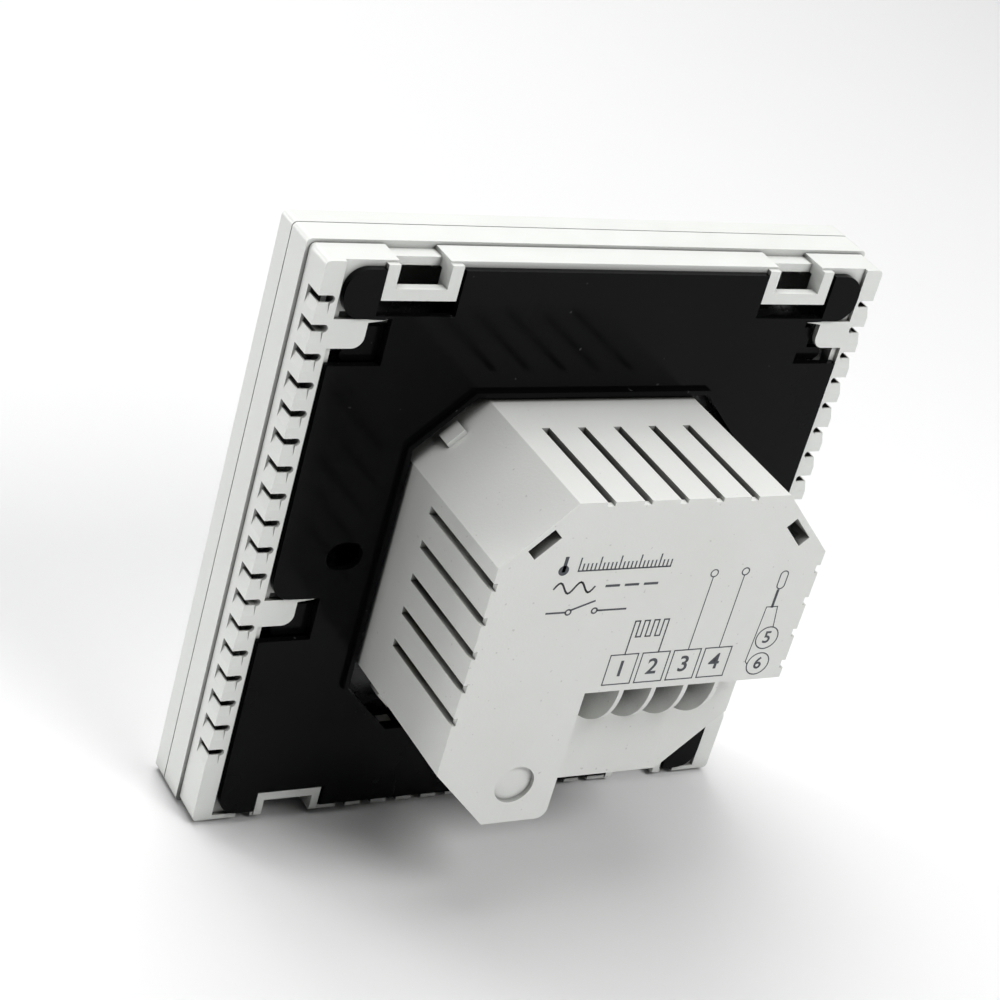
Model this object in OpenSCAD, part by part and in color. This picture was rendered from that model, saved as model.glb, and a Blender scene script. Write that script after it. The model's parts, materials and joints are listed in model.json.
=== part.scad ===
// Flush-box room thermostat with a hook-on steel mounting plate, seen as an assembly.
// X runs along the wall, Z is up, Y is zero on the wall and positive into the wall box.

/* [Housing] */
// Side of the square front panel and frame
panel_size = 86; // [80:0.5:90]
// Distance from the wall to the front face
front_depth = 13.5; // [12:0.5:18]
// Side of the vented back cover, slightly smaller than the frame
cover_size = 85.2; // [78:0.2:89]
// Wall of the frame and of the panel skirt
frame_wall = 1.8; // [1.2:0.1:2.4]
// Front wall of the panel
face_wall = 2.0; // [1.6:0.1:2.6]
// Corner radius of the square layers
corner_r = 0.7; // [0.5:0.1:4]
// Distance between two side vents
vent_pitch = 4.03; // [3:0.01:6]
// Side vents on each edge
vent_count = 18; // [4:1:19]

/* [Mounting plate] */
// Width of the steel plate
plate_w = 78.8; // [74:0.2:79]
// Sheet thickness
plate_t = 1.0; // [0.8:0.1:1.0]
// Distance between the two wall screws
screw_pitch = 60; // [60:0.1:60.4]
// Width of the screw slots
slot_w = 4.2; // [3.6:0.1:4.4]
// Overall length of the screw slots
slot_len = 5.2; // [4.8:0.1:5.4]
// How far the unit drops onto the hooks
hook_drop = 1.8; // [1:0.1:1.8]

/* [Power box] */
// Width of the box that enters the wall
box_w = 50.0; // [48:0.2:50.4]
// Height of the box that enters the wall
box_h = 49.6; // [48:0.2:50]
// Chamfer on the box corners
box_c = 9.0; // [8:0.1:10]
// Distance from the wall to the back of the box
box_depth = 25.2; // [22:0.2:28]
// Wall thickness of the box
box_wall = 1.6; // [1.2:0.1:2]
// Depth of the terminal recess
recess_depth = 7.7; // [6:0.1:8]
// Distance between mains terminals
pole_pitch = 5.08; // [5:0.01:5.2]

/* [Display and keys] */
// Width of the display lens
lens_w = 60; // [50:1:64]
// Height of the display lens
lens_h = 42; // [36:1:44]
// Distance between key centres
key_pitch = 16; // [13:0.5:17]
// Key travel
key_travel = 0.3; // [0.2:0.05:0.3]

/* [Hidden] */
$fn = 48;
white = [0.92, 0.92, 0.9];
black = [0.05, 0.05, 0.05];
steel = [0.7, 0.7, 0.72];
green = [0.1, 0.35, 0.2];
brass = [0.75, 0.6, 0.3];
// levels along Y, all measured from the wall
y_rim = -0.5;
y_seat = -1.1;
y_floor = -2.8;
y_cover = -5.4;
y_frame = -5.6;
y_split = -10.2;
y_front = -front_depth;
y_face = y_front + face_wall;
half = panel_size / 2;
cover_half = cover_size / 2;
plate_half = plate_w / 2;
plate_top = 41.8;
plate_bottom = -41.6;
// power box centre and outline
box_x = -1.0;
box_z = -1.4;
box_l = box_x + box_w / 2;
box_r = box_x - box_w / 2;
box_top = box_z + box_h / 2;
box_bot = box_z - box_h / 2;
leg_x = 5.2;
leg_round = 1.5;
step_z = -5.9;
y_shelf = box_depth - recess_depth;
shelf_t = 1.2;
head_room = 8.4;
// hooks: height of the notch tops, reach of the tabs
hook_tops = [35.0, -6.4];
tab_reach = 34.9;
finger_reach = 34.7;
// pockets that free the snap catches: centre, half widths of the opening and of its wall
pocket_x = 28.8;
pocket_half = 3.65;
pocket_wall = 5.3;
pocket_low = 37.4;
pocket_sill = 39.0;
catch_low = 40.8;
catch_top = 42.0;
// side vents: inner end on the rim, inner end on the side, skin in front of the channel
vent_first = 36.9;
vent_inner = 40.8;
vent_deep = -3.6;
vent_skin = 0.5;
// vents along the bottom edge
vent_bottom = -41.9;
// boards
board_back = -4.4;
board_front = y_frame;
pcb_front = 0.5;
pcb_back = 2.1;
// terminals
pole_x = [for (i = [0:3]) 2.0 - i * pole_pitch];
sensor_x = [-18.5, -22.3];
pole_z = -10.4;
// screw bosses at the four corners, the upper pair kept below the hooks
boss_at = [[35, 22], [-35, 22], [35, -35], [-35, -35]];
key_z = -28;
plunger_end = -8.65;
key_x = [for (i = [0:3]) (i - 1.5) * -key_pitch];
post_at = [[11.7, -20.0], [-20.8, 5.0]];
// wire leads that pass through the power board
relay_leads = [for (x = [-13.5, -8.5, 3, 10], z = [11, 18.5]) [x, z]];
coil_leads = [for (x = [7.6, 14, 20.4], z = [-8.2, 0.2]) [x, z]];
film_leads = [[-13.8, -1.2], [-3.8, -1.2]];
varistor_leads = [[-15, 5], [-10, 6.2]];
fuse_leads = [[-22.3, -1.6], [-17.3, -1.6]];
all_leads = concat(relay_leads, coil_leads, film_leads, varistor_leads, fuse_leads);

module up_y(y0, y1) {
  translate([0, y1, 0]) rotate([90, 0, 0]) linear_extrude(y1 - y0) children();
}
module along_x(x0, x1) {
  translate([x0, 0, 0]) rotate([90, 0, 90]) linear_extrude(x1 - x0) children();
}
module slab(a, b) {
  translate(a) cube(b - a);
}
module rod_y(x, z, d, y0, y1) {
  translate([x, y1, z]) rotate([90, 0, 0]) cylinder(d = d, h = y1 - y0);
}
module rod_x(y, z, d, x0, x1) {
  translate([x0, y, z]) rotate([0, 90, 0]) cylinder(d = d, h = x1 - x0);
}
module rod_z(x, y, d, z0, z1) {
  translate([x, y, z0]) cylinder(d = d, h = z1 - z0);
}
module cross_slot(x, z, y0, y1) {
  slab([x - 1.2, y0, z - 0.3], [x + 1.2, y1, z + 0.3]);
  slab([x - 0.3, y0, z - 1.2], [x + 0.3, y1, z + 1.2]);
}
module mirrored() {
  children();
  mirror([1, 0, 0]) children();
}
module round_rect(w, h, r) {
  square([w - 2 * r, h], center = true);
  square([w, h - 2 * r], center = true);
  for (a = [-1, 1], b = [-1, 1])
    translate([a * (w / 2 - r), b * (h / 2 - r)]) circle(r);
}
module octagon(l, r, t, b, c) {
  polygon([[r + c, t], [l - c, t], [l, t - c], [l, b + c], [l - c, b], [r + c, b],
    [r, b + c], [r, t - c]]);
}
// the box outline moved in (negative) or out (positive) by e
module box_outline(e) {
  octagon(box_l + e, box_r - e, box_top + e, box_bot - e, box_c + e * 0.586);
}
module slot_shape(x, z, len, w) {
  translate([x, z]) square([len - w, w], center = true);
  for (s = [-1, 1]) translate([x + s * (len - w) / 2, z]) circle(d = w);
}

// ---- mounting plate ----
module plate_opening(e) {
  octagon(box_l + 0.6 + e, box_r - 0.4 - e, box_top + 0.6 + e, box_bot - 2.4 - e, 7.5 + e * 0.586);
}
module plate_outline() {
  z_mid = (plate_top + plate_bottom) / 2;
  difference() {
    translate([0, z_mid]) round_rect(plate_w, plate_top - plate_bottom, 3);
    plate_opening(0);
    for (s = [-1, 1]) {
      slot_shape(s * screw_pitch / 2, 0, slot_len, slot_w);
      translate([s * pocket_x - 5.6, 37.2 - hook_drop]) square([11.2, 10]);
      translate([s * pocket_x - 5.1, -48.3]) square([10.2, 10]);
      for (z = hook_tops) hook_notch(s, z);
    }
  }
}
// notch beside each hook: the corner above it is rounded like the sheet's corners
module hook_notch(s, z) {
  scale([s, 1]) {
    translate([32, z - 6.6]) square([10, 6.6]);
    translate([plate_half - 3, z]) difference() {
      square([4, 3]);
      translate([0, 3]) circle(3);
    }
  }
}
module hook_finger(z) {
  slab([31.0, -2.4, z - 6.6], [32.0, 0, z - 1.8]);
  slab([31.0, -2.4, z - 6.6], [finger_reach, -1.5, z - 1.8]);
  slab([finger_reach - 0.1, -2.4, z - 6.6], [36.4, -1.5, z - 4.85]);
  rod_y(36.4, z - 5.725, 1.75, -2.4, -1.5);
}
module mounting_plate() {
  color(black) {
    up_y(-plate_t, 0) plate_outline();
    up_y(-plate_t, 0.8) difference() {
      plate_opening(0.7);
      plate_opening(0);
    }
    mirrored() for (z = hook_tops) hook_finger(z);
  }
}

// ---- back cover ----
// slot wrapping from the side onto the rim, with a shallow scoop below it on both faces
module cover_vent(z) {
  scoop = 0.3;
  scoop_end = -1.5;
  top = 1.05;
  low = -0.05;
  tall = top - low;
  ramp = [[-scoop, low + 0.02], [2, low + 0.02], [2, scoop_end], [0, scoop_end]];
  up_y(vent_deep, 1) translate([vent_inner, z]) {
    translate([0, low]) square([4, tall]);
    translate([0, low + tall / 2]) circle(d = tall);
  }
  up_y(vent_deep, 1) translate([cover_half, z]) polygon(ramp);
  along_x(vent_inner, 44) translate([y_rim, z]) polygon(ramp);
}
module cover_body() {
  difference() {
    union() {
      up_y(y_cover, y_rim) round_rect(cover_size, cover_size, corner_r);
      up_y(y_frame, y_cover) round_rect(cover_size - 0.4, cover_size - 0.4, corner_r);
      up_y(-7.0, y_frame) round_rect(81.8, 81.8, corner_r);
    }
    // inside, open toward the front
    up_y(-8, y_floor) round_rect(79.4, 79.4, 1);
    up_y(-5.0, y_floor) round_rect(81.6, 81.6, 0.5);
    // channel behind the vents
    mirrored() slab([40.2, -5.0, -34.5], [cover_half - vent_skin, y_rim - vent_skin, 39.2]);
    // seat for the plate, open at the top edge
    slab([-plate_half - 0.4, y_seat, plate_bottom - 0.3], [plate_half + 0.4, 1, 60]);
    up_y(-9, 1) plate_opening(0.3);
    // cut back below the box, so that only the dark inside shows past the plate
    slab([box_r + box_c, -9, box_bot - 4.2], [box_l - box_c, 1, box_bot]);
    // room for the wall screw heads
    for (s = [-1, 1]) {
      slab([s * screw_pitch / 2 - head_room / 2, -3, 0], [s * screw_pitch / 2 + head_room / 2, 0, hook_drop]);
      rod_y(s * screw_pitch / 2, 0, head_room, -3, 0);
      rod_y(s * screw_pitch / 2, hook_drop, head_room, -3, 0);
    }
    mirrored() for (z = hook_tops) slab([30.6, -3, z - 8.8], [38.9, 0, z + 0.5]);
    // dark gap below the upper pocket walls, and the hollow behind their sill
    mirrored() slab([pocket_x - 7.5, -3, 33.0], [pocket_x + 7.5, 0, pocket_low]);
    mirrored() slab([pocket_x - pocket_half, -4, pocket_low], [pocket_x + pocket_half, -1.7, 40]);
  }
  // tabs that catch behind the fingers, and the pocket floor in front of the fingers
  mirrored() for (z = hook_tops) {
    up_y(-1.3, y_rim) hook_tab(z);
    slab([38.8, y_floor - 0.1, z - 4.4], [41.5, y_rim, z - 0.3]);
    slab([30.2, -3.6, z - 6.5], [35.4, -2.75, z - 1.6]);
  }
  // walls around the catch pockets
  mirrored() {
    difference() {
      slab([pocket_x - pocket_wall, y_floor, pocket_low], [pocket_x + pocket_wall, -0.3, cover_half - 0.3]);
      slab([pocket_x - pocket_half, y_floor - 1, pocket_low - 1], [pocket_x + pocket_half, -1.7, 50]);
    }
    slab([pocket_x - 4.8, y_frame, -cover_half + 0.2], [pocket_x + 4.8, -0.3, -38.7]);
  }
}
module hook_tab(z) {
  polygon([[32.4, z - 0.45], [36.5, z - 0.3], [36.5, z - 1.0]]);
  translate([tab_reach, z - 4.4 + 1.6]) square([5.2, 2.5]);
  translate([tab_reach + 1.6, z - 4.4]) square([3.6, 4.1]);
  translate([tab_reach + 1.6, z - 2.8]) circle(1.6);
}
module bottom_vent(x, w) {
  slab([x - w / 2, vent_deep, -50], [x + w / 2, 1, vent_bottom]);
  rod_y(x, vent_bottom, w, vent_deep, 1);
}
module back_cover() {
  color(white) difference() {
    cover_body();
    mirrored() {
      slab([pocket_x - pocket_half, -9, pocket_sill], [pocket_x + pocket_half, 1, catch_low]);
      slab([pocket_x - pocket_half, -3.4, pocket_sill], [pocket_x + pocket_half, 1, 50]);
      slab([pocket_x - pocket_half, y_frame - 0.01, catch_top], [pocket_x + pocket_half, 1, 50]);
      slab([pocket_x - pocket_half, y_frame - 0.01, -50], [pocket_x + pocket_half, 1, -40.0]);
      for (i = [0:vent_count - 1]) cover_vent(vent_first - i * vent_pitch);
      bottom_vent(35.1, 2.2);
    }
    for (i = [-5:5]) bottom_vent(i * vent_pitch, 1.6);
  }
}

// ---- front parts ----
module mid_frame() {
  color(white) {
    difference() {
      up_y(y_split + 0.1, y_frame - 0.05) round_rect(panel_size, panel_size, corner_r);
      up_y(-20, 0) round_rect(panel_size - 2 * frame_wall, panel_size - 2 * frame_wall, 1);
    }
    for (p = boss_at) difference() {
      union() {
        rod_y(p[0], p[1], 5.6, -8.9, board_front - 0.05);
        scale([sign(p[0]), 1, 1]) slab([abs(p[0]), -8.9, p[1] - 0.6], [half - 1, -7.3, p[1] + 0.6]);
      }
      rod_y(p[0], p[1], 1.8, -8.4, 0);
    }
  }
}
module front_panel() {
  lens_z = 12;
  skirt = panel_size - 2 * frame_wall;
  color(white) difference() {
    union() {
      difference() {
        up_y(y_front, y_split - 0.1) round_rect(panel_size, panel_size, corner_r);
        up_y(y_face, 0) round_rect(skirt, skirt, 1);
      }
      // lip that centres the panel in the frame
      difference() {
        up_y(y_face - 0.5, -9.1) round_rect(skirt - 0.2, skirt - 0.2, 1);
        up_y(-20, 0) round_rect(skirt - 2.4, skirt - 2.4, 1);
      }
    }
    translate([0, 0, lens_z]) {
      up_y(y_front - 1, y_front + 1.2) round_rect(lens_w + 0.3, lens_h + 0.3, 1.5);
      up_y(y_front - 1, 0) round_rect(lens_w - 6, lens_h - 6, 1);
    }
    for (x = key_x) translate([x, 0, key_z]) up_y(y_front - 1, 0) slot_shape(0, 0, 10.3, 4.3);
  }
}
module display_lens() {
  color([0.1, 0.1, 0.12]) translate([0, 0, 12])
    up_y(y_front + 0.05, y_front + 1.15) round_rect(lens_w, lens_h, 1.35);
}
module lcd_glass() {
  color([0.4, 0.5, 0.45]) {
    slab([-29, y_face + 1.2, -10], [29, y_face + 2.2, 34]);
    slab([-29, y_face + 0.2, -6], [29, y_face + 1.15, 34]);
  }
}
module light_guide() {
  color([0.9, 0.95, 1]) {
    slab([-29, y_face + 2.3, -4.5], [29, board_front - 0.5, 33.5]);
    for (x = [-24, 24], z = [0, 29]) rod_y(x, z, 2, board_front - 0.6, board_front - 0.1);
  }
}
module contact_strip() {
  color([0.8, 0.4, 0.5]) slab([-27, y_face + 2.25, -9.5], [27, board_front - 0.05, -7.5]);
}
module backlight_leds() {
  color([0.95, 0.95, 0.8]) for (s = [-1, 1]) {
    slab([s * 31 - 1.4, -7.4, 12.25], [s * 31 + 1.4, board_front - 0.05, 15.75]);
  }
}
module control_board() {
  color(green) difference() {
    up_y(board_front, board_back) translate([0, -0.5]) round_rect(76, 75, 2);
    for (p = boss_at) rod_y(p[0], p[1], 2.4, -9, 0);
    for (x = [-24, 24], z = [0, 29]) rod_y(x, z, 1.2, -9, 0);
    slab([36, -9, -22], [40, 0, -18]);
  }
}
module microcontroller() {
  color(black) {
    slab([-5, board_back + 0.15, 5], [5, -3.1, 15]);
    for (i = [-5:5], a = [0:90:270]) translate([0, 0, 10]) rotate([0, a, 0])
      slab([i * 0.8 - 0.15, board_back + 0.02, 4.9], [i * 0.8 + 0.15, board_back + 0.3, 6.1]);
  }
}
module small_chip(x, z) {
  slab([x - 2.45, board_back + 0.15, z - 1.95], [x + 2.45, -3.2, z + 1.95]);
  for (i = [-1.5:1.5], s = [-1, 1])
    slab([x + i * 1.27 - 0.2, board_back + 0.02, z + s * 2.4 - 0.6],
      [x + i * 1.27 + 0.2, board_back + 0.3, z + s * 2.4 + 0.6]);
}
module board_chips() {
  color(black) {
    small_chip(14, 12);
    small_chip(14, 3);
  }
}
module watch_crystal() {
  color(steel) rod_x(board_back + 1.02, 16, 2, -16, -9.8);
}
module backup_cell() {
  color(steel) {
    rod_y(-12, 2, 12.5, board_back + 0.35, board_back + 2.2);
    rod_y(-12, 2, 10.5, board_back + 0.15, board_back + 2.45);
    slab([-20, board_back + 0.02, 0.5], [-11, board_back + 0.2, 3.5]);
  }
}
module header_socket() {
  color(black) difference() {
    slab([-14.2, board_back + 0.05, -20.3], [6.2, board_back + 3.2, -17.7]);
    for (i = [0:7]) slab([-13.1 + i * 2.54, board_back + 1, -19.35],
      [-12.4 + i * 2.54, board_back + 4, -18.65]);
  }
}
module header_pins() {
  color(brass) for (i = [0:7]) slab([-13.05 + i * 2.54, board_back + 1.4, -19.3],
    [-12.45 + i * 2.54, -0.9, -18.7]);
  color(black) slab([-14.2, -1.0, -20.3], [6.2, pcb_front - 0.05, -17.7]);
}
module tact_switches() {
  color(black) for (x = key_x) translate([x, 0, key_z]) difference() {
    union() {
      up_y(-9.1, board_front - 0.05) square(6, center = true);
      for (s = [-1, 1], t = [-2.2, 2.2]) slab([s * 3.6 - 0.9, -6.0, t - 0.35],
        [s * 3.6 + 0.9, board_front - 0.05, t + 0.35]);
    }
    rod_y(0, 0, 3.6, -10, plunger_end + key_travel + 0.05);
  }
}
module plunger(n) {
  color([0.15, 0.15, 0.15]) rod_y(key_x[n], key_z, 3.44, -10.3, plunger_end);
}
module key(n) {
  color(white) translate([key_x[n], 0, key_z]) {
    up_y(y_front - 0.35, y_face + 0.1) slot_shape(0, 0, 10, 4);
    up_y(y_face + 0.08, y_face + 0.75) slot_shape(0, 0, 12, 6);
    rod_y(0, 0, 3, y_face + 0.7, -10.35);
  }
}
module plunger_1() { plunger(0); }
module plunger_2() { plunger(1); }
module plunger_3() { plunger(2); }
module plunger_4() { plunger(3); }
module key_1() { key(0); }
module key_2() { key(1); }
module key_3() { key(2); }
module key_4() { key(3); }
module room_sensor() {
  color(black) translate([37.6, -5.2, -20]) sphere(d = 2.2);
  color(steel) for (s = [-1, 1]) rod_x(-5.0, -20 + s * 0.45, 0.45, 36.02, 37.4);
}
module board_screws() {
  color(steel) for (p = boss_at) difference() {
    union() {
      rod_y(p[0], p[1], 1.7, -8.2, board_back + 0.1);
      rod_y(p[0], p[1], 4.2, board_back + 0.02, board_back + 1.4);
    }
    cross_slot(p[0], p[1], board_back + 0.7, 0);
  }
}

// ---- power box ----
module leg_outline(e) {
  // back level: octagon less the terminal recess, with the leg's corner rounded
  difference() {
    box_outline(e);
    translate([leg_x - 60 - e, step_z - 60 - e]) square([60, 60]);
    translate([leg_x - e, box_bot - e]) difference() {
      square(leg_round);
      translate([leg_round, leg_round]) circle(leg_round);
    }
  }
}
module box_shell() {
  difference() {
    union() {
      up_y(-2.95, y_shelf) box_outline(0);
      up_y(y_shelf - 0.1, box_depth) leg_outline(0);
      box_flange();
      // snap tongues on the chamfers
      for (a = [0:3]) snap_nib(a);
    }
    up_y(-5, y_shelf - shelf_t) box_outline(-box_wall);
    up_y(y_shelf - shelf_t - 0.1, box_depth - box_wall) leg_outline(-box_wall);
    // clear of the wall screw beside the box
    rod_y(-screw_pitch / 2, 0, head_room, -5, -2);
    rod_y(-screw_pitch / 2, hook_drop, head_room, -5, -2);
  }
}
// catches the cover's inner face on three sides
module box_flange() {
  slab([box_r - 1.4, -3.9, box_bot + box_c], [box_r + 1, -2.9, box_top - box_c]);
  slab([box_l - 1, -3.9, box_bot + box_c], [box_l + 1.4, -2.9, box_top - box_c]);
  slab([box_r + box_c, -3.9, box_top - 1], [box_l - box_c, -2.9, box_top + 1.4]);
}
module snap_nib(a) {
  cx = box_x + (a < 2 ? 1 : -1) * (box_w / 2 - box_c / 2);
  cz = box_z + (a % 2 == 0 ? 1 : -1) * (box_h / 2 - box_c / 2);
  turn = [45, 135, -45, -135][a];
  translate([cx, 0, cz]) rotate([0, turn, 0]) {
    slab([-1.5, 0.2, -0.5], [1.5, 2.6, 0.75]);
  }
}
module box_ribs() {
  // ledges and posts that carry the board
  slab([box_l - box_wall - 1.4, pcb_back + 0.05, -15.5], [box_l - 1, 15, -14.3]);
  slab([box_r + 1, pcb_back + 0.05, 9.2], [box_r + box_wall + 1.4, 15, 10.4]);
  for (x = [-12, 10])
    slab([x, pcb_back + 0.05, box_top - box_wall - 0.9], [x + 1.2, 22, box_top - box_wall + 0.1]);
  for (p = post_at) rod_y(p[0], p[1], 5, pcb_back + 0.05, box_depth - box_wall + 0.1);
  slab([box_r + box_wall - 0.1, pcb_back + 2, 4.4], [-22, box_depth - box_wall + 0.1, 5.6]);
}
module wire_fins() {
  for (i = [0:3]) along_x(-0.85 - i * pole_pitch, -0.15 - i * pole_pitch) difference() {
    translate([box_depth - 9.2, step_z]) circle(9.2);
    translate([y_shelf - 20.1, step_z - 20]) square([20, 40]);
    translate([0, step_z + 0.1]) square([40, 40]);
  }
}
module power_box() {
  top_slots = [for (i = [-2:2]) box_x + 0.45 + i * 5.45];
  side_slots = [11.6, 6.5, 1.4, -3.7, -8.8];
  color(white) difference() {
    union() {
      box_shell();
      box_ribs();
      wire_fins();
    }
    for (x = top_slots) slab([x - 0.6, 7.4, box_top - box_wall - 0.2], [x + 0.6, box_depth - 0.9, 40]);
    for (x = top_slots) slab([x - 0.6, box_depth - 1.2, box_top - 0.6], [x + 0.6, 40, 40]);
    for (z = side_slots) {
      slab([box_l - box_wall - 0.2, 7.4, z - 0.6], [40, box_depth - 0.9, z + 0.6]);
      slab([box_l - 0.6, box_depth - 1.2, z - 0.6], [40, 40, z + 0.6]);
    }
    for (i = [0:3]) {
      slab([-40, 7.4, side_slots[i] - 0.6], [box_r + box_wall + 0.1, box_depth - 0.9, side_slots[i] + 0.6]);
      slab([-40, box_depth - 1.2, side_slots[i] - 0.6], [box_r + 0.6, 40, side_slots[i] + 0.6]);
    }
    // windows over the snap tongues
    for (s = [-1, 1]) translate([box_x + s * 19.3, 0, 17.6]) rotate([0, s * 45, 0])
      slab([-2.15, 20, -0.9], [2.15, 40, 0.9]);
    // shallow round recess over the screw post
    rod_y(post_at[0][0], post_at[0][1], 5.8, box_depth - 0.7, 40);
    for (p = post_at) rod_y(p[0], p[1], 1.8, 0, 10);
    // driver and wire openings
    for (x = pole_x) {
      rod_y(x, pole_z, 3.9, 10, y_shelf + 1);
      slab([x - 2.05, 3.2, -40], [x + 2.05, 9.8, box_bot + box_wall + 0.1]);
    }
    for (x = sensor_x) {
      rod_y(x, pole_z, 2.8, 10, y_shelf + 1);
      slab([x - 1.3, 3.2, -40], [x + 1.3, 7.4, -16.2]);
    }
  }
}
module power_board() {
  color(green) difference() {
    up_y(pcb_front, pcb_back) box_outline(-box_wall - 0.3);
    for (p = post_at) rod_y(p[0], p[1], 2.4, 0, 5);
    for (p = all_leads) rod_y(p[0], p[1], 1.1, 0, 5);
    for (x = concat(pole_x, sensor_x)) slab([x - 0.6, 0, -7.0], [x + 0.6, 5, -6.0]);
  }
}
module lead(p) {
  rod_y(p[0], p[1], 0.8, pcb_front - 0.7, pcb_back + 1.6);
}
module power_board_screws() {
  color(steel) for (p = post_at) difference() {
    union() {
      rod_y(p[0], p[1], 1.7, pcb_front - 0.1, 7.5);
      rod_y(p[0], p[1], 4.2, pcb_front - 1.3, pcb_front - 0.02);
    }
    cross_slot(p[0], p[1], -3, pcb_front - 0.7);
  }
}
module relay() {
  color([0.1, 0.1, 0.1]) {
    slab([-16.4, pcb_back + 0.3, 8.9], [12.4, 17.4, 21.5 - 0.9]);
    slab([-16.1, 17.3, 9.2], [12.1, 17.8, 20.3]);
  }
  color(steel) for (p = relay_leads) lead(p);
}
module transformer_core() {
  color([0.25, 0.25, 0.27]) difference() {
    slab([6.9, 3.6, -12.5], [21.7, 16.0, 4.5]);
    slab([6, 6.4, -9.2], [22, 13.6, -6.0]);
    slab([6, 6.4, -2.0], [22, 13.6, 1.2]);
    slab([6, 6.4, -9.3], [9.2, 13.6, 1.3]);
    slab([19.2, 6.4, -9.3], [22, 13.6, 1.3]);
  }
}
module transformer_coil() {
  color([0.8, 0.65, 0.2]) difference() {
    slab([7.1, 6.6, -9.0], [21.4, 13.4, 1.0]);
    slab([9.0, 6.0, -6.2], [19.4, 15, -1.8]);
  }
  color(steel) for (p = coil_leads) rod_y(p[0], p[1], 0.8, pcb_front - 0.7, pcb_back + 1);
}
module can(x, z, d, h) {
  rod_y(x, z, d, pcb_back + 0.1, pcb_back + 1.2);
  rod_y(x, z, d - 0.5, pcb_back + 1.1, pcb_back + 1.7);
  rod_y(x, z, d, pcb_back + 1.6, pcb_back + h - 0.3);
  rod_y(x, z, d - 0.6, pcb_back + h - 0.4, pcb_back + h);
}
module filter_capacitors() {
  color([0.1, 0.12, 0.3]) {
    can(2.0, -0.7, 8, 12);
    can(2.0, 6.1, 4.8, 11);
    can(-4.2, 5.9, 4.8, 11);
  }
}
module film_capacitor() {
  color([0.85, 0.75, 0.2]) slab([-15, pcb_back + 0.3, -4.2], [-2.6, 13, 1.8]);
  color(steel) for (p = film_leads) lead(p);
}
module varistor() {
  color([0.15, 0.3, 0.6]) rod_z(-12.5, 7.6, 9, 4.1, 7.1);
  color(steel) for (p = varistor_leads) rod_y(p[0], p[1], 0.8, pcb_front - 0.7, 5);
}
module fuse() {
  color([0.1, 0.1, 0.1]) rod_y(-19.8, -1.6, 7.6, pcb_back + 0.3, 9.6);
  color(steel) for (p = fuse_leads) lead(p);
}
module diodes() {
  color(black) for (x = [7.5, 14.5], z = [-15, 6.7]) {
    rod_x(pcb_back + 1.4, z, 2.6, x, x + 5);
    slab([x - 0.3, pcb_back + 0.05, z - 0.9], [x + 0.5, pcb_back + 1.6, z + 0.9]);
    slab([x + 4.5, pcb_back + 0.05, z - 0.9], [x + 5.3, pcb_back + 1.6, z + 0.9]);
  }
}

// ---- terminals: a screw lifts its cage and clamps the wire under a fixed plate ----
cage_w = 3.7;
sensor_cage_w = 2.7;
module pole_hollow(x, w, head) {
  slab([x - w / 2 - 0.1, 3.2, -13.4], [x + w / 2 + 0.1, 13.2, -6.0]);
  slab([x - w / 2, 4.3, -60], [x + w / 2, 9.5, -13]);
  slab([x - 0.6, 0, -7.0], [x + 0.6, 4, -6.0]);
  rod_y(x, pole_z, head - 1.0, 13, 14);
  rod_y(x, pole_z, head + 0.2, 13.7, 20);
}
module terminal_block() {
  color([0.15, 0.4, 0.25]) difference() {
    slab([-15.7, pcb_back + 0.1, -24.2], [4.5, 16.1, -5.4]);
    for (x = pole_x) pole_hollow(x, cage_w, 3.8);
  }
}
module sensor_terminal_block() {
  color([0.15, 0.4, 0.25]) difference() {
    slab([-24.2, pcb_back + 0.1, -15.6], [-16.6, 16.1, -5.4]);
    for (x = sensor_x) pole_hollow(x, sensor_cage_w, 2.6);
  }
}
module pole_plate(x, w) {
  slab([x - w / 2 + 0.6, 8.0, -15.5], [x + w / 2 - 0.6, 8.8, -6.1]);
  slab([x - 0.5, pcb_front - 0.7, -6.9], [x + 0.5, 8.8, -6.1]);
}
module terminal_pins() {
  color(brass) {
    for (x = pole_x) pole_plate(x, cage_w);
    for (x = sensor_x) pole_plate(x, sensor_cage_w);
  }
}
module screw(x, head) {
  color(steel) difference() {
    union() {
      rod_y(x, pole_z, head - 1.2, 9.1, 14);
      rod_y(x, pole_z, head, 13.8, 15.6);
    }
    slab([x - 3, 14.8, pole_z - 0.3], [x + 3, 16, pole_z + 0.3]);
  }
}
module cage(x, w, bore) {
  color(brass) difference() {
    slab([x - w / 2, 3.4, -13.2], [x + w / 2, 11.6, -7.6]);
    slab([x - w / 2 + 0.45, 4.2, -14], [x + w / 2 - 0.45, 9.6, -7]);
    rod_y(x, pole_z, bore, 9, 12);
  }
}
module terminal_screw_1() { screw(pole_x[0], 3.8); }
module terminal_screw_2() { screw(pole_x[1], 3.8); }
module terminal_screw_3() { screw(pole_x[2], 3.8); }
module terminal_screw_4() { screw(pole_x[3], 3.8); }
module terminal_cage_1() { cage(pole_x[0], cage_w, 2.7); }
module terminal_cage_2() { cage(pole_x[1], cage_w, 2.7); }
module terminal_cage_3() { cage(pole_x[2], cage_w, 2.7); }
module terminal_cage_4() { cage(pole_x[3], cage_w, 2.7); }
module sensor_screw_1() { screw(sensor_x[0], 2.6); }
module sensor_screw_2() { screw(sensor_x[1], 2.6); }
module sensor_cage_1() { cage(sensor_x[0], sensor_cage_w, 1.5); }
module sensor_cage_2() { cage(sensor_x[1], sensor_cage_w, 1.5); }

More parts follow.
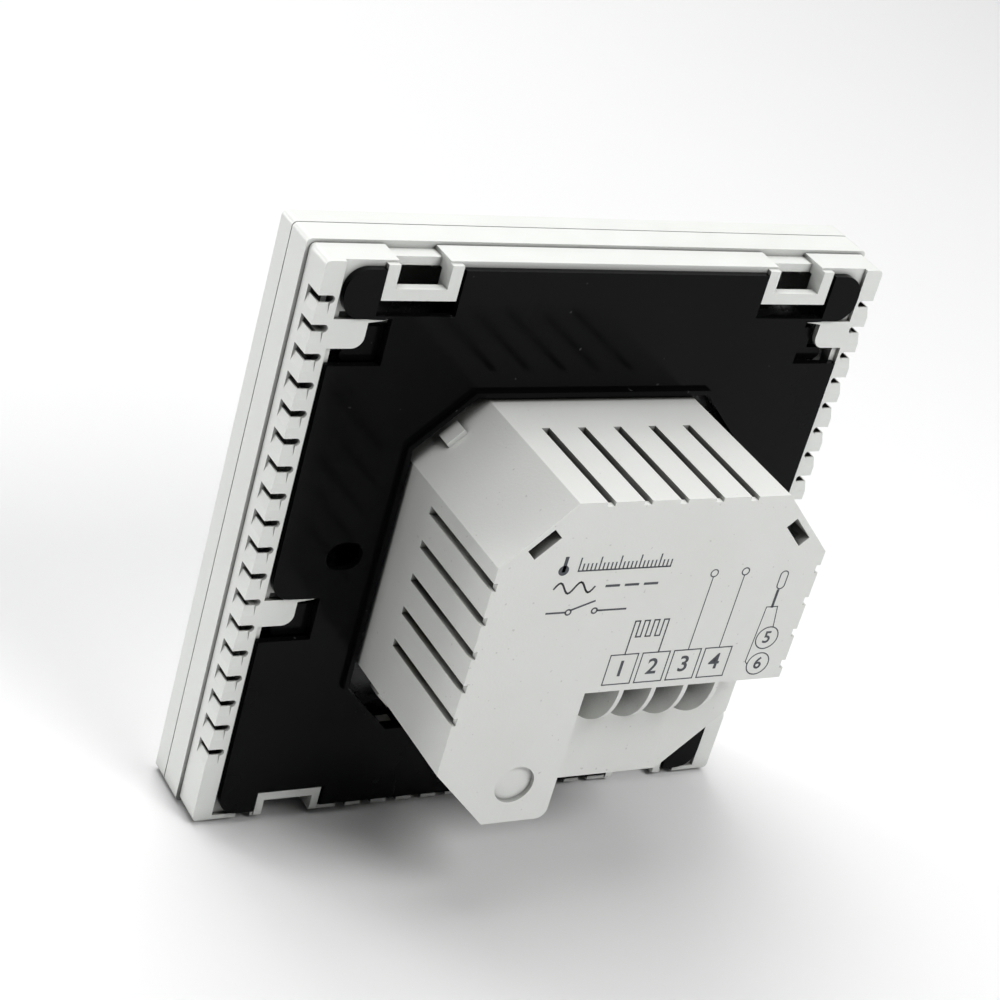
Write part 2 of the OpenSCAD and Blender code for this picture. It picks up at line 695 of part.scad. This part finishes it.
mounting_plate();
back_cover();
mid_frame();
front_panel();
display_lens();
lcd_glass();
light_guide();
contact_strip();
backlight_leds();
control_board();
microcontroller();
board_chips();
watch_crystal();
backup_cell();
header_socket();
header_pins();
tact_switches();
plunger_1();
plunger_2();
plunger_3();
plunger_4();
key_1();
key_2();
key_3();
key_4();
room_sensor();
board_screws();
power_box();
power_board();
power_board_screws();
relay();
transformer_core();
transformer_coil();
filter_capacitors();
film_capacitor();
varistor();
fuse();
diodes();
terminal_block();
sensor_terminal_block();
terminal_pins();
terminal_screw_1();
terminal_screw_2();
terminal_screw_3();
terminal_screw_4();
terminal_cage_1();
terminal_cage_2();
terminal_cage_3();
terminal_cage_4();
sensor_screw_1();
sensor_screw_2();
sensor_cage_1();
sensor_cage_2();
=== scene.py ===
import json
import math

import bmesh
import bpy
from mathutils import Matrix, Vector


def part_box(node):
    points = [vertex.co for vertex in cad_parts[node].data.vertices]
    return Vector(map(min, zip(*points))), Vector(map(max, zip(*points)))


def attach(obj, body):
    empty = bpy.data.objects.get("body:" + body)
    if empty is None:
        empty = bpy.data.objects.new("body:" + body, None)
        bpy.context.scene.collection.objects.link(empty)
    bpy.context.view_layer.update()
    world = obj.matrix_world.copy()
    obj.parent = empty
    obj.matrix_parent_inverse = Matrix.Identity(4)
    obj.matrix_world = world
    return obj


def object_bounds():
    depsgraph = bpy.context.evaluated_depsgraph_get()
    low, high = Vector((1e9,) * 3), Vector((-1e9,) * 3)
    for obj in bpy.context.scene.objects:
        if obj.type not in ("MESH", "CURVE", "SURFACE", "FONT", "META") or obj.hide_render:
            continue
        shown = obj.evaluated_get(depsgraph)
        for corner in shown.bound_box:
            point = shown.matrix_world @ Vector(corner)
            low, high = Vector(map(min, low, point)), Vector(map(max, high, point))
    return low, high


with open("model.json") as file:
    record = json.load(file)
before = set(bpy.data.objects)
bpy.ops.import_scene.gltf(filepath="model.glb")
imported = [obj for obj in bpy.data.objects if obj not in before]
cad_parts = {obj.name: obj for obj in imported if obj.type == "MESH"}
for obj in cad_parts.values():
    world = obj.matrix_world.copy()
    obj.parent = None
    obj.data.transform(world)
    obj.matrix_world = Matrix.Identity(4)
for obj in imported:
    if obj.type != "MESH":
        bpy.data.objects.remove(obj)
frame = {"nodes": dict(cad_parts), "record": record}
cad_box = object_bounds()
nodes = frame["nodes"]
scene = bpy.context.scene
MM = 0.001

# ---------------------------------------------------------------- camera
CAMERA_AT = Vector((0.1784, 0.2392, 0.1645))
CAMERA_RIGHT = Vector((-0.8594, 0.4472, 0.2478))
CAMERA_UP = Vector((-0.0324, -0.5313, 0.8465))
CAMERA_BACK = Vector((0.5102, 0.7195, 0.4712))
SENSOR_MM = 36
LENS_MM = 90.13


def make_camera():
    """Looks at the back of the unit from above and from its left-hand side."""
    data = bpy.data.cameras.new("camera")
    data.sensor_width = SENSOR_MM
    data.lens = LENS_MM
    data.clip_start = 0.01
    data.clip_end = 20
    camera = bpy.data.objects.new("camera", data)
    turn = Matrix((CAMERA_RIGHT, CAMERA_UP, CAMERA_BACK)).transposed().normalized()
    camera.matrix_world = Matrix.Translation(CAMERA_AT) @ turn.to_4x4()
    scene.collection.objects.link(camera)
    scene.camera = camera


make_camera()


# ---------------------------------------------------------------- materials
class Shader:
    """A Principled material whose nodes read object coordinates, in metres."""

    def __init__(self, name, color, rough, metallic=0.0, coat=0.0, transmission=0.0):
        self.material = bpy.data.materials.new(name)
        self.material.use_nodes = True
        self.tree = self.material.node_tree
        self.bsdf = self.tree.nodes["Principled BSDF"]
        self.color = color
        self.rough = rough
        self.bsdf.inputs["Metallic"].default_value = metallic
        self.bsdf.inputs["Coat Weight"].default_value = coat
        self.bsdf.inputs["Coat Roughness"].default_value = 0.08
        self.bsdf.inputs["Transmission Weight"].default_value = transmission
        self.coords = self.node("ShaderNodeTexCoord").outputs["Object"]
        self.normal = None

    def node(self, kind, **settings):
        made = self.tree.nodes.new(kind)
        for key, value in settings.items():
            setattr(made, key, value)
        return made

    def link(self, source, target):
        self.tree.links.new(source, target)

    def stretched(self, scale):
        mapping = self.node("ShaderNodeMapping")
        mapping.inputs["Scale"].default_value = scale
        self.link(self.coords, mapping.inputs["Vector"])
        return mapping.outputs["Vector"]

    def noise(self, scale, detail=3.0, stretch=None, rough=0.55):
        made = self.node("ShaderNodeTexNoise")
        made.inputs["Scale"].default_value = scale
        made.inputs["Detail"].default_value = detail
        made.inputs["Roughness"].default_value = rough
        self.link(self.stretched(stretch) if stretch else self.coords, made.inputs["Vector"])
        return made.outputs["Fac"]

    def waves(self, scale, direction="X", distortion=0.0):
        made = self.node("ShaderNodeTexWave", bands_direction=direction)
        made.inputs["Scale"].default_value = scale
        made.inputs["Distortion"].default_value = distortion
        self.link(self.coords, made.inputs["Vector"])
        return made.outputs["Fac"]

    def ranged(self, source, low, high, from_low=0.3, from_high=0.7):
        made = self.node("ShaderNodeMapRange")
        made.inputs["From Min"].default_value = from_low
        made.inputs["From Max"].default_value = from_high
        made.inputs["To Min"].default_value = low
        made.inputs["To Max"].default_value = high
        self.link(source, made.inputs["Value"])
        return made.outputs["Result"]

    def mixed(self, factor, first, second):
        made = self.node("ShaderNodeMix", data_type="RGBA")
        self.link(factor, made.inputs["Factor"])
        for value, socket in ((first, made.inputs[6]), (second, made.inputs[7])):
            if isinstance(value, tuple):
                socket.default_value = (*value, 1)
            else:
                self.link(value, socket)
        return made.outputs[2]

    def mottle(self, shade, scale=90.0, amount=1.0):
        """Blends the base colour toward a slightly different shade in soft patches."""
        soft = self.ranged(self.noise(scale, 4), 0, amount)
        self.color = self.mixed(soft, self.color, shade)
        return self

    def specks(self, shade, scale=900.0, limit=0.73):
        """Sparse small specks, such as dust or filler."""
        dots = self.ranged(self.noise(scale, 1), 0, 1, limit, limit + 0.05)
        self.color = self.mixed(dots, self.color, shade)
        return self

    def painted_crevice_shade(self, shade, reach, low=0.2, high=0.7):
        """Paints shade into narrow slots and inner corners, darker where the surface faces others
        close by.
        """
        made = self.node("ShaderNodeAmbientOcclusion", samples=8)
        made.inputs["Distance"].default_value = reach
        openness = self.ranged(made.outputs["AO"], 0, 1, low, high)
        self.color = self.mixed(openness, shade, self.color)
        return self

    def rough_spread(self, low, high, scale=160.0, stretch=None):
        spread = self.ranged(self.noise(scale, 5, stretch), low, high)
        self.link(spread, self.bsdf.inputs["Roughness"])
        return self

    def bump(self, source, depth, strength=1.0):
        made = self.node("ShaderNodeBump")
        made.inputs["Strength"].default_value = strength
        made.inputs["Distance"].default_value = depth
        self.link(source, made.inputs["Height"])
        if self.normal:
            self.link(self.normal, made.inputs["Normal"])
        self.normal = made.outputs["Normal"]
        return self

    def grain(self, depth=0.00002, scale=2600.0, stretch=None):
        return self.bump(self.noise(scale, 2, stretch), depth)

    def done(self):
        base = self.bsdf.inputs["Base Color"]
        if isinstance(self.color, tuple):
            base.default_value = (*self.color, 1)
        else:
            self.link(self.color, base)
        self.bsdf.inputs["Roughness"].default_value = self.rough
        if self.normal:
            self.link(self.normal, self.bsdf.inputs["Normal"])
        return self.material


def moulded(name, color, shade, rough=0.42, grain=0.000012, specks=None, crevice_shade=None):
    """Injection-moulded plastic: fine spark-eroded grain and faint flow patches, with painted shade
    in slots and inner corners when a crevice shade colour is given.
    """
    made = Shader(name, color, rough).mottle(shade, 70, 0.7)
    if specks:
        made.specks(specks, 1500, 0.74)
    # painted shade: an ambient occlusion node darkens slots and inner corners
    if crevice_shade:
        made.painted_crevice_shade(crevice_shade, 0.006)
    made.rough_spread(rough - 0.07, rough + 0.08, 240)
    made.grain(grain, 2800)
    made.bump(made.noise(45, 2), 0.00003, 0.6)
    return made.done()


def painted_steel():
    """Glossy stoved paint over slightly wavy sheet, with a few dust specks."""
    made = Shader("black_stoved_paint", (0.0025, 0.0025, 0.0027), 0.1)
    made.bsdf.inputs["Specular IOR Level"].default_value = 0.065
    made.mottle((0.004, 0.004, 0.0045), 60)
    made.specks((0.05, 0.05, 0.05), 700, 0.76)
    made.rough_spread(0.07, 0.2, 120)
    made.bump(made.noise(420, 3), 0.000006, 0.7)
    made.bump(made.noise(38, 2), 0.00004, 0.5)
    return made.done()


def plated(name, color, shade, rough=0.28, stretch=(1, 1, 8)):
    """Bare or plated metal with fine drawn lines."""
    made = Shader(name, color, rough, metallic=1.0).mottle(shade, 400)
    made.rough_spread(rough - 0.1, rough + 0.15, 700, stretch)
    made.grain(0.000006, 3000, stretch)
    return made.done()


def lacquered_board(name, mask, track):
    """Solder mask with a maze of slightly raised tracks under it."""
    made = Shader(name, mask, 0.25)
    cells = made.node("ShaderNodeTexVoronoi", distance="MANHATTAN", feature="F1")
    cells.inputs["Scale"].default_value = 420
    made.link(made.coords, cells.inputs["Vector"])
    tracks = made.ranged(cells.outputs["Distance"], 0, 1, 0.45, 0.55)
    made.color = made.mixed(tracks, made.color, track)
    made.rough_spread(0.18, 0.38, 300)
    made.bump(tracks, 0.00003, 0.6)
    return made.done()


def glazed(name, color, shade, rough=0.06, transmission=0.0, coat=0.5):
    """Glossy resin, glass or lacquer with a clear coat."""
    made = Shader(name, color, rough, coat=coat, transmission=transmission).mottle(shade, 50)
    made.rough_spread(rough * 0.6, rough * 2.0, 90)
    made.bump(made.noise(60, 2), 0.000008, 0.5)
    return made.done()


def banded(name, color, shade, scale, direction, rough, metallic=0.0):
    """Layers or windings that show as fine parallel lines."""
    made = Shader(name, color, rough, metallic=metallic)
    lines = made.waves(scale, direction, 0.4)
    made.color = made.mixed(lines, color, shade)
    made.rough_spread(rough - 0.08, rough + 0.1, 300)
    made.bump(lines, 0.00004, 0.8)
    return made.done()


# colour of the painted shade in the slots and inner corners of the white mouldings
PAINTED_SHADE = (0.05, 0.052, 0.045)
HOUSING = moulded("housing_white", (0.80, 0.815, 0.79), (0.77, 0.785, 0.755), crevice_shade=PAINTED_SHADE)
BOX = moulded(
    "box_white", (0.77, 0.78, 0.755), (0.73, 0.74, 0.71), 0.5, 0.000018, (0.6, 0.6, 0.58), PAINTED_SHADE
)
KEYS = moulded("key_white", (0.78, 0.79, 0.77), (0.74, 0.75, 0.73), 0.34)
INK = moulded("printing_ink", (0.045, 0.05, 0.06), (0.09, 0.095, 0.11), 0.55)
STEEL = plated("zinc_plate", (0.62, 0.63, 0.65), (0.5, 0.5, 0.5))
LOOKS = {
    "black_steel": painted_steel(),
    "housing_plastic": HOUSING,
    "lens_plastic": glazed("display_tint", (0.006, 0.007, 0.009), (0.01, 0.011, 0.014), 0.05),
    "lcd_glass": glazed("lcd_layers", (0.32, 0.38, 0.36), (0.26, 0.33, 0.31), 0.1, 0.4),
    "light_guide": glazed("clear_guide", (0.8, 0.86, 0.88), (0.72, 0.8, 0.84), 0.12, 0.7),
    "strip_rubber": banded("layered_rubber", (0.75, 0.32, 0.42), (0.1, 0.1, 0.1), 900, "X", 0.6),
    "led_plastic": glazed("led_resin", (0.9, 0.85, 0.55), (0.8, 0.78, 0.6), 0.2),
    "board_green": lacquered_board("green_mask", (0.008, 0.075, 0.03), (0.02, 0.16, 0.06)),
    "chip_plastic": moulded("chip_epoxy", (0.018, 0.018, 0.019), (0.03, 0.03, 0.03), 0.5, 0.00002),
    "steel": STEEL,
    "contact_brass": plated("contact_brass", (0.72, 0.5, 0.2), (0.58, 0.4, 0.18), 0.25),
    "key_plastic": KEYS,
    "plunger_plastic": moulded("plunger_nylon", (0.04, 0.04, 0.04), (0.06, 0.06, 0.06)),
    "sensor_epoxy": glazed("dipped_bead", (0.015, 0.015, 0.015), (0.03, 0.03, 0.03), 0.15),
    "relay_plastic": moulded("relay_case", (0.02, 0.02, 0.024), (0.03, 0.03, 0.035), 0.3),
    "core_steel": banded("laminations", (0.14, 0.14, 0.15), (0.05, 0.05, 0.05), 320, "X", 0.4, 0.6),
    "coil_tape": banded("coil_tape", (0.75, 0.55, 0.1), (0.6, 0.4, 0.05), 160, "Y", 0.3),
    "capacitor_sleeve": glazed("shrink_sleeve", (0.02, 0.03, 0.12), (0.03, 0.04, 0.16), 0.22),
    "film_case": moulded("film_case", (0.75, 0.62, 0.12), (0.68, 0.55, 0.1), 0.4),
    "varistor_coat": glazed("varistor_epoxy", (0.03, 0.1, 0.35), (0.04, 0.13, 0.4), 0.25),
    "fuse_case": moulded("fuse_case", (0.025, 0.025, 0.025), (0.04, 0.04, 0.04), 0.4),
    "terminal_green": moulded("terminal_polyamide", (0.03, 0.22, 0.09), (0.025, 0.18, 0.07), 0.45),
}
BLACK_MASK = lacquered_board("black_mask", (0.004, 0.004, 0.0045), (0.012, 0.012, 0.013))
OWN_LOOK = {"power_box": BOX, "control_board": BLACK_MASK}
SLOT_OF = {s["node"]: s["material_slot"] for s in frame["record"]["subparts"]}

# edge radii in millimetres
EDGE_RADIUS = {
    "mounting_plate": 0.18,
    "back_cover": 0.16,
    "mid_frame": 0.22,
    "front_panel": 0.22,
    "power_box": 0.22,
    "display_lens": 0.2,
}
FLAT_WITHIN = math.radians(1.5)
SHARP_OVER = math.radians(32)


def soften(part, radius):
    """Rounds the moulded or pressed edges that the exact solid leaves sharp."""
    merge = part.modifiers.new("merge", "DECIMATE")
    merge.decimate_type = "DISSOLVE"
    merge.angle_limit = FLAT_WITHIN
    bevel = part.modifiers.new("edge_radius", "BEVEL")
    bevel.width = radius * MM
    bevel.segments = 2
    bevel.limit_method = "ANGLE"
    bevel.angle_limit = SHARP_OVER
    bevel.harden_normals = False
    bevel.miter_outer = "MITER_ARC"


def dress_nodes():
    """Gives every solid its look and rounds the edges of the outer shells."""
    for name, part in nodes.items():
        look = OWN_LOOK.get(name, LOOKS[SLOT_OF[name]])
        part.data.materials.clear()
        part.data.materials.append(look)
        for face in part.data.polygons:
            face.material_index = 0
        if name in EDGE_RADIUS:
            soften(part, EDGE_RADIUS[name])


dress_nodes()


# ---------------------------------------------------------------- printed marks
class Plate:
    """Flat shapes a hair thick, drawn in millimetres on a face of constant Y."""

    def __init__(self, name, face_y, outward, thick=0.02):
        self.name = name
        self.mesh = bmesh.new()
        self.outward = outward
        self.face_y = face_y
        self.thick = thick

    def point(self, across, up, level):
        # across grows to the right for someone who looks at the face
        depth = self.face_y + self.outward * self.thick * level
        return Vector((-self.outward * across, depth, up)) * MM

    def shape(self, outline):
        top = [self.mesh.verts.new(self.point(a, u, 1)) for a, u in outline]
        low = [self.mesh.verts.new(self.point(a, u, -0.5)) for a, u in outline]
        self.mesh.faces.new(top)
        self.mesh.faces.new(low[::-1])
        count = len(outline)
        for i in range(count):
            j = (i + 1) % count
            self.mesh.faces.new((top[j], top[i], low[i], low[j]))

    def line(self, start, end, width=0.18):
        a, b = Vector(start), Vector(end)
        along = (b - a).normalized() * width / 2
        side = Vector((-along.y, along.x))
        corners = (a - along - side, b + along - side, b + along + side, a - along + side)
        self.shape([tuple(c) for c in corners])

    def path(self, points, width=0.18):
        for start, end in zip(points, points[1:]):
            self.line(start, end, width)

    def frame_box(self, x, z, w, h, width=0.18):
        corners = [(x, z), (x + w, z), (x + w, z + h), (x, z + h), (x, z)]
        self.path(corners, width)

    def arc(self, centre, radius, start=0, end=360, width=0.18, steps=28):
        turn = [math.radians(start + (end - start) * i / steps) for i in range(steps + 1)]
        x, z = centre
        inner, outer = radius - width / 2, radius + width / 2
        for a, b in zip(turn, turn[1:]):
            ring = [(outer, a), (outer, b), (inner, b), (inner, a)]
            self.shape([(x + r * math.cos(t), z + r * math.sin(t)) for r, t in ring])

    def disc(self, centre, radius, steps=24):
        turn = [2 * math.pi * i / steps for i in range(steps)]
        x, z = centre
        self.shape([(x + radius * math.cos(t), z + radius * math.sin(t)) for t in turn])

    def number(self, text, centre, height):
        curve = bpy.data.curves.new("number", "FONT")
        curve.body = text
        curve.size = height * 1.38
        curve.offset = height * 0.02
        curve.align_x = "CENTER"
        curve.align_y = "CENTER"
        curve.extrude = self.thick
        carrier = bpy.data.objects.new("number", curve)
        scene.collection.objects.link(carrier)
        bpy.context.view_layer.update()
        graph = bpy.context.evaluated_depsgraph_get()
        solid = bpy.data.meshes.new_from_object(carrier.evaluated_get(graph))
        rows = (
            (-self.outward, 0, 0, -self.outward * centre[0]),
            (0, 0, self.outward, self.face_y),
            (0, 1, 0, centre[1]),
            (0, 0, 0, 1),
        )
        solid.transform(Matrix.Scale(MM, 4) @ Matrix(rows))
        self.mesh.from_mesh(solid)
        bpy.data.objects.remove(carrier)
        bpy.data.meshes.remove(solid)

    def finish(self, body, material):
        bmesh.ops.recalc_face_normals(self.mesh, faces=self.mesh.faces)
        data = bpy.data.meshes.new(self.name)
        self.mesh.to_mesh(data)
        self.mesh.free()
        data.materials.append(material)
        piece = bpy.data.objects.new(self.name, data)
        scene.collection.objects.link(piece)
        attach(piece, body)
        return piece


BOX_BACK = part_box("power_box")[1].y / MM
PANEL_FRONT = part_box("display_lens")[0].y / MM
KEY_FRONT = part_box("key_1")[0].y / MM
UNIT = "thermostat"


# pole boxes on the label, in millimetres
POLE_PITCH = 4.95
POLE_BOX = (4.25, 4.7)
POLE_LEFT = -3.0
POLE_LOW = -4.8
POLE_TOP = POLE_LOW + POLE_BOX[1]
POLE_MIDDLES = [POLE_LEFT + POLE_BOX[0] / 2 + i * POLE_PITCH for i in range(4)]
THIN = 0.14
FINE = 0.17
PLAIN = 0.2
BOLD = 0.26


def pole_boxes(ink):
    width, height = POLE_BOX
    for i, middle in enumerate(POLE_MIDDLES):
        ink.frame_box(middle - width / 2, POLE_LOW, width, height, FINE)
        ink.number(str(i + 1), (middle, POLE_LOW + height / 2), 2.5)


def load_symbol(ink):
    """A heater between the first two poles."""
    left, right, base, crest = -0.9, 4.3, 2.6, 5.1
    steps = 7
    wave = [(left, POLE_TOP), (left, crest)]
    for i in range(1, steps):
        x = left + (right - left) * i / steps
        wave += [(x, crest if i % 2 else base), (x, base if i % 2 else crest)]
    wave += [(right, crest), (right, POLE_TOP)]
    ink.path(wave, PLAIN)


def supply_wires(ink):
    """Two open-ended wires on the last two poles."""
    wire_top, ring_z, ring = 11.3, 11.9, 0.55
    for middle in POLE_MIDDLES[2:]:
        ink.line((middle, POLE_TOP), (middle, wire_top), THIN)
        ink.arc((middle, ring_z), ring, width=FINE, steps=18)


def probe_symbol(ink):
    """The outside probe on its two poles."""
    pole_x, ring = 21.4, 1.75
    for number, z in (("5", 0.9), ("6", -3.3)):
        ink.arc((pole_x, z), ring, width=FINE)
        ink.number(number, (pole_x, z), 1.9)
    join = 5.95
    ink.path([(19.65, -3.3), (19.2, -2.8), (19.5, join), (21.3, join), (21.8, 2.6)], THIN)
    ink.line((20.4, 6.0), (20.4, 8.5), 0.4)
    x, low, high, half = 20.55, 9.4, 11.0, 0.6
    ink.arc((x, high), half, 0, 180, FINE, 12)
    ink.arc((x, low), half, 180, 360, FINE, 12)
    for side in (x - half, x + half):
        ink.line((side, low), (side, high), FINE)


def thermometer_and_scale(ink):
    bulb = (-14.4, 13.6)
    ink.disc(bulb, 0.75)
    ink.line(bulb, (-14.4, 15.4), 0.5)
    start, end, base, step = -12.2, 1.6, 13.4, 0.6
    ink.line((start, base), (end, base), PLAIN)
    for i in range(24):
        tall = 1.9 if i % 5 == 0 else 1.0
        ink.line((start + step * i, base), (start + step * i, base + tall), PLAIN)


def supply_symbol(ink):
    """A sine wave and a dashed line."""
    middle = 10.9
    swing = [(-15 + 0.25 * i, middle + 0.8 * math.sin(i * math.pi / 6)) for i in range(25)]
    ink.path(swing, BOLD)
    for i in range(3):
        dash = -7.2 + 2.9 * i
        ink.line((dash, middle), (dash + 1.8, middle), 0.36)


def contact_symbol(ink):
    """An open relay contact."""
    z, ring = 7.2, 0.4
    ink.line((-15, z), (-12.2, z), BOLD)
    ink.arc((-11.8, z), ring, width=0.22, steps=14)
    ink.line((-11.5, 7.5), (-8.3, 8.7), BOLD)
    ink.arc((-7.9, z), ring, width=0.22, steps=14)
    ink.line((-7.5, z), (-3.2, z), BOLD)


def wiring_marks():
    """Pole numbers and plain circuit symbols on the back of the terminal box."""
    ink = Plate("wiring_marks", BOX_BACK, 1)
    pole_boxes(ink)
    load_symbol(ink)
    supply_wires(ink)
    probe_symbol(ink)
    thermometer_and_scale(ink)
    supply_symbol(ink)
    contact_symbol(ink)
    ink.finish(UNIT, INK)


SEGMENTS = {"0": "abcdef", "2": "abged", "5": "afgcd"}


def digit(marks, text, x, z, w, h, thick):
    """One seven-segment figure with its lower left corner at x, z."""
    mid, gap = z + h / 2, thick * 0.62
    bars = {
        "a": ((x + gap, z + h), (x + w - gap, z + h)),
        "b": ((x + w, mid + gap), (x + w, z + h - gap)),
        "c": ((x + w, z + gap), (x + w, mid - gap)),
        "d": ((x + gap, z), (x + w - gap, z)),
        "e": ((x, z + gap), (x, mid - gap)),
        "f": ((x, mid + gap), (x, z + h - gap)),
        "g": ((x + gap, mid), (x + w - gap, mid)),
    }
    for bar in SEGMENTS[text]:
        marks.line(*bars[bar], thick)


def lit_display():
    """Room temperature in large figures, set temperature in small ones, and a dial line."""
    glow = Shader("lit_segments", (0.55, 0.75, 0.9), 0.3).mottle((0.45, 0.68, 0.88), 300)
    glow.bsdf.inputs["Emission Color"].default_value = (0.45, 0.72, 1.0, 1)
    glow.bsdf.inputs["Emission Strength"].default_value = 0.7
    glow.grain(0.000005)
    material = glow.done()
    marks = Plate("display_figures", PANEL_FRONT, -1, 0.015)
    for i, figure in enumerate("20"):
        digit(marks, figure, -17 + 11 * i, 6, 7, 14, 1.5)
    marks.disc((3.2, 6.2), 0.9)
    digit(marks, "5", 6, 6, 7, 14, 1.5)
    marks.arc((17, 19.5), 1.1, width=0.5)
    for i, figure in enumerate("22"):
        digit(marks, figure, 14.5 + 4.4 * i, -3.2, 2.8, 5, 0.6)
    for i in range(12):
        tall = 2.2 if i < 8 else 1.0
        marks.line((-24 + 2.6 * i, -3.2), (-24 + 2.6 * i, -3.2 + tall), 0.5)
    marks.line((-25, 26.5), (25, 26.5), 0.25)
    marks.finish(UNIT, material)


def key_marks():
    """A plain pictogram on each key: up, down, clock and power."""
    boxes = [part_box("key_%d" % i) for i in range(1, 5)]
    centres = [(low.x + high.x) / 2 / MM for low, high in boxes]
    height = (boxes[0][0].z + boxes[0][1].z) / 2 / MM
    for i, x in enumerate(centres):
        marks = Plate("key_mark_%d" % (i + 1), KEY_FRONT, -1, 0.012)
        if i == 0:
            marks.path([(x - 1.3, height - 0.6), (x, height + 0.8), (x + 1.3, height - 0.6)], 0.3)
        elif i == 1:
            marks.path([(x - 1.3, height + 0.7), (x, height - 0.7), (x + 1.3, height + 0.7)], 0.3)
        elif i == 2:
            marks.arc((x, height), 1.15, width=0.26)
            marks.path([(x, height + 0.75), (x, height), (x + 0.6, height - 0.2)], 0.22)
        else:
            marks.arc((x, height - 0.1), 1.1, 125, 415, 0.28)
            marks.line((x, height + 0.1), (x, height + 1.2), 0.28)
        marks.finish("key_%d" % (i + 1), INK)


wiring_marks()
lit_display()
key_marks()


# ---------------------------------------------------------------- floor and light
BRIGHT_SIDE = Vector((-0.15, -0.45, 0.88))
SKY_DIM = 0.12
SKY_BRIGHT = 1.7


FLOOR_GAP = 0.4 * MM
LIGHTS = (
    # name, place, size and power
    ("overhead", (0.1, -0.15, 1.1), 1.0, 6.2),
    ("over_panel", (-0.1, -0.75, 0.8), 0.9, 5.5),
    ("top_back", (-0.12, 0.34, 0.38), 0.25, 1.5),
    ("side_behind", (0.6, -0.8, 0.2), 0.4, 5.0),
)
LIT_POINT = Vector((0, 0.01, 0))


def make_floor():
    level = cad_box[0].z - FLOOR_GAP
    data = bpy.data.meshes.new("floor")
    reach = 4.0
    corners = [(-reach, -reach), (reach, -reach), (reach, reach), (-reach, reach)]
    data.from_pydata([(x, y, level) for x, y in corners], [], [(0, 1, 2, 3)])
    look = Shader("floor_white", (0.89, 0.89, 0.89), 0.9).mottle((0.87, 0.87, 0.87), 3)
    data.materials.append(look.done())
    floor = bpy.data.objects.new("floor", data)
    scene.collection.objects.link(floor)


def area_light(name, place, size, power):
    data = bpy.data.lights.new(name, "AREA")
    data.shape = "DISK"
    data.size = size
    data.energy = power
    light = bpy.data.objects.new(name, data)
    place = Vector(place)
    turn = (LIT_POINT - place).normalized().to_track_quat("-Z", "Y")
    light.matrix_world = Matrix.Translation(place) @ turn.to_matrix().to_4x4()
    scene.collection.objects.link(light)


def make_world():
    """A soft tent that is bright above and behind the panel and dim toward the terminal box."""
    world = bpy.data.worlds.new("studio")
    world.use_nodes = True
    tree = world.node_tree
    coords = tree.nodes.new("ShaderNodeTexCoord")
    toward = tree.nodes.new("ShaderNodeVectorMath")
    toward.operation = "DOT_PRODUCT"
    toward.inputs[1].default_value = BRIGHT_SIDE
    spread = tree.nodes.new("ShaderNodeMapRange")
    spread.interpolation_type = "SMOOTHSTEP"
    spread.inputs["From Min"].default_value = -0.5
    spread.inputs["From Max"].default_value = 0.9
    spread.inputs["To Min"].default_value = SKY_DIM
    spread.inputs["To Max"].default_value = SKY_BRIGHT
    tree.links.new(coords.outputs["Generated"], toward.inputs[0])
    tree.links.new(toward.outputs["Value"], spread.inputs["Value"])
    tree.links.new(spread.outputs["Result"], tree.nodes["Background"].inputs["Strength"])
    scene.world = world
    scene.view_settings.view_transform = "Standard"


make_floor()
make_world()
for light_settings in LIGHTS:
    area_light(*light_settings)
